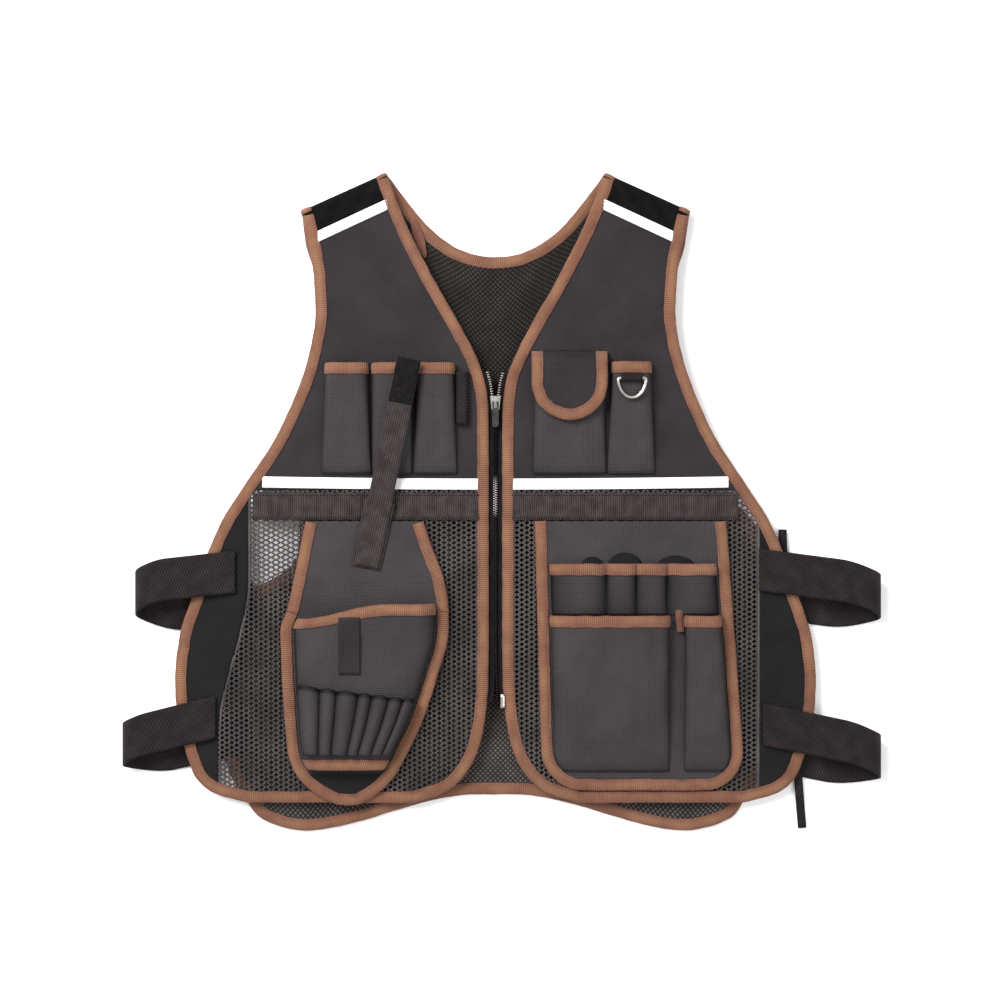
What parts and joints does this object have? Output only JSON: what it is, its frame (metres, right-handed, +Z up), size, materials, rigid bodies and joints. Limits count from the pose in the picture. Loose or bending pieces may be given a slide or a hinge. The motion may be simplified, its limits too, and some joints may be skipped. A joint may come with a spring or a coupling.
{
  "type": "utility work vest",
  "caption": "Sleeveless tool vest laid flat: net body, bound edges, zip front, chest pockets, bit holster, tool pouch, reflective strips and looped side straps.",
  "frame": {"origin": "under the middle of the outline, on the surface the vest lies on", "axes": "+Z up, out of the chest; +Y to the neck; +X to the right of someone who faces the front"},
  "size_m": [0.7214, 0.629, 0.0506],
  "materials": {
    "oxford": "tight plain-woven polyester oxford cloth, matt",
    "net": "warp-knitted polyester net, matt",
    "shoulder_patch": "black knitted or foam-backed cloth, matt",
    "binding": "folded polyester grosgrain binding tape, slight sheen",
    "reflector": "retroreflective tape, satin",
    "webbing": "woven polyester webbing, matt",
    "zip_tape": "knitted zip tape, matt",
    "metal": "nickel-plated steel and zinc, bright"
  },
  "bodies": {
    "vest": {"shoulder_patch_left": "shoulder_patch", "yoke_left": "oxford", "net_left": "net", "side_patch_left": "oxford", "front_binding_left": "binding", "chest_reflector_left": "reflector", "waist_band_left": "webbing", "shoulder_reflector_left": "reflector", "shoulder_patch_right": "shoulder_patch", "yoke_right": "oxford", "net_right": "net", "side_patch_right": "oxford", "front_binding_right": "binding", "chest_reflector_right": "reflector", "waist_band_right": "webbing", "shoulder_reflector_right": "reflector", "back_net": "net", "back_neck_binding": "binding", "back_edge_binding": "binding", "zip_tape_left": "zip_tape", "zip_tape_right": "zip_tape", "zip_chain": "metal", "zip_slider": "metal", "chest_pocket_outer": "oxford", "chest_pocket_binding_outer": "binding", "chest_pocket_middle": "oxford", "chest_pocket_binding_middle": "binding", "chest_pocket_inner": "oxford", "chest_pocket_binding_inner": "binding", "pen_loop": "webbing", "flap_pocket": "oxford", "pocket_flap": "oxford", "pocket_flap_binding": "binding", "tool_pocket": "oxford", "tool_pocket_binding": "binding", "d_ring_tab": "webbing", "drop_strap": "webbing", "holster_back": "oxford", "holster_side_binding_left": "binding", "holster_side_binding_right": "binding", "holster_edge_binding": "binding", "holster_front": "oxford", "holster_mouth_binding": "binding", "holster_base_binding": "binding", "bit_sleeves": "webbing", "pouch_back": "oxford", "pouch_edge_binding": "binding", "small_pockets": "oxford", "small_pockets_binding": "binding", "large_pocket": "oxford", "large_pocket_binding": "binding", "narrow_pocket": "oxford", "narrow_pocket_binding": "binding", "side_strap_upper_left": "webbing", "side_strap_lower_left": "webbing", "side_strap_upper_right": "webbing", "side_strap_lower_right": "webbing", "side_tape": "webbing"},
    "d_ring": {"d_ring": "metal"},
    "zip_pull": {"zip_pull": "metal"}
  },
  "joints": [
    {"name": "d_ring_turn", "type": "hinge", "parent": "vest", "child": "d_ring", "pos_m": [0.1225, 0.11633, 0.03723], "axis": [-1, 0, 0], "range_deg": [0, 150]},
    {"name": "zip_pull_turn", "type": "hinge", "parent": "vest", "child": "zip_pull", "pos_m": [-0.006, 0.09333, 0.02539], "axis": [-1, 0, 0], "range_deg": [0, 150]}
  ]
}
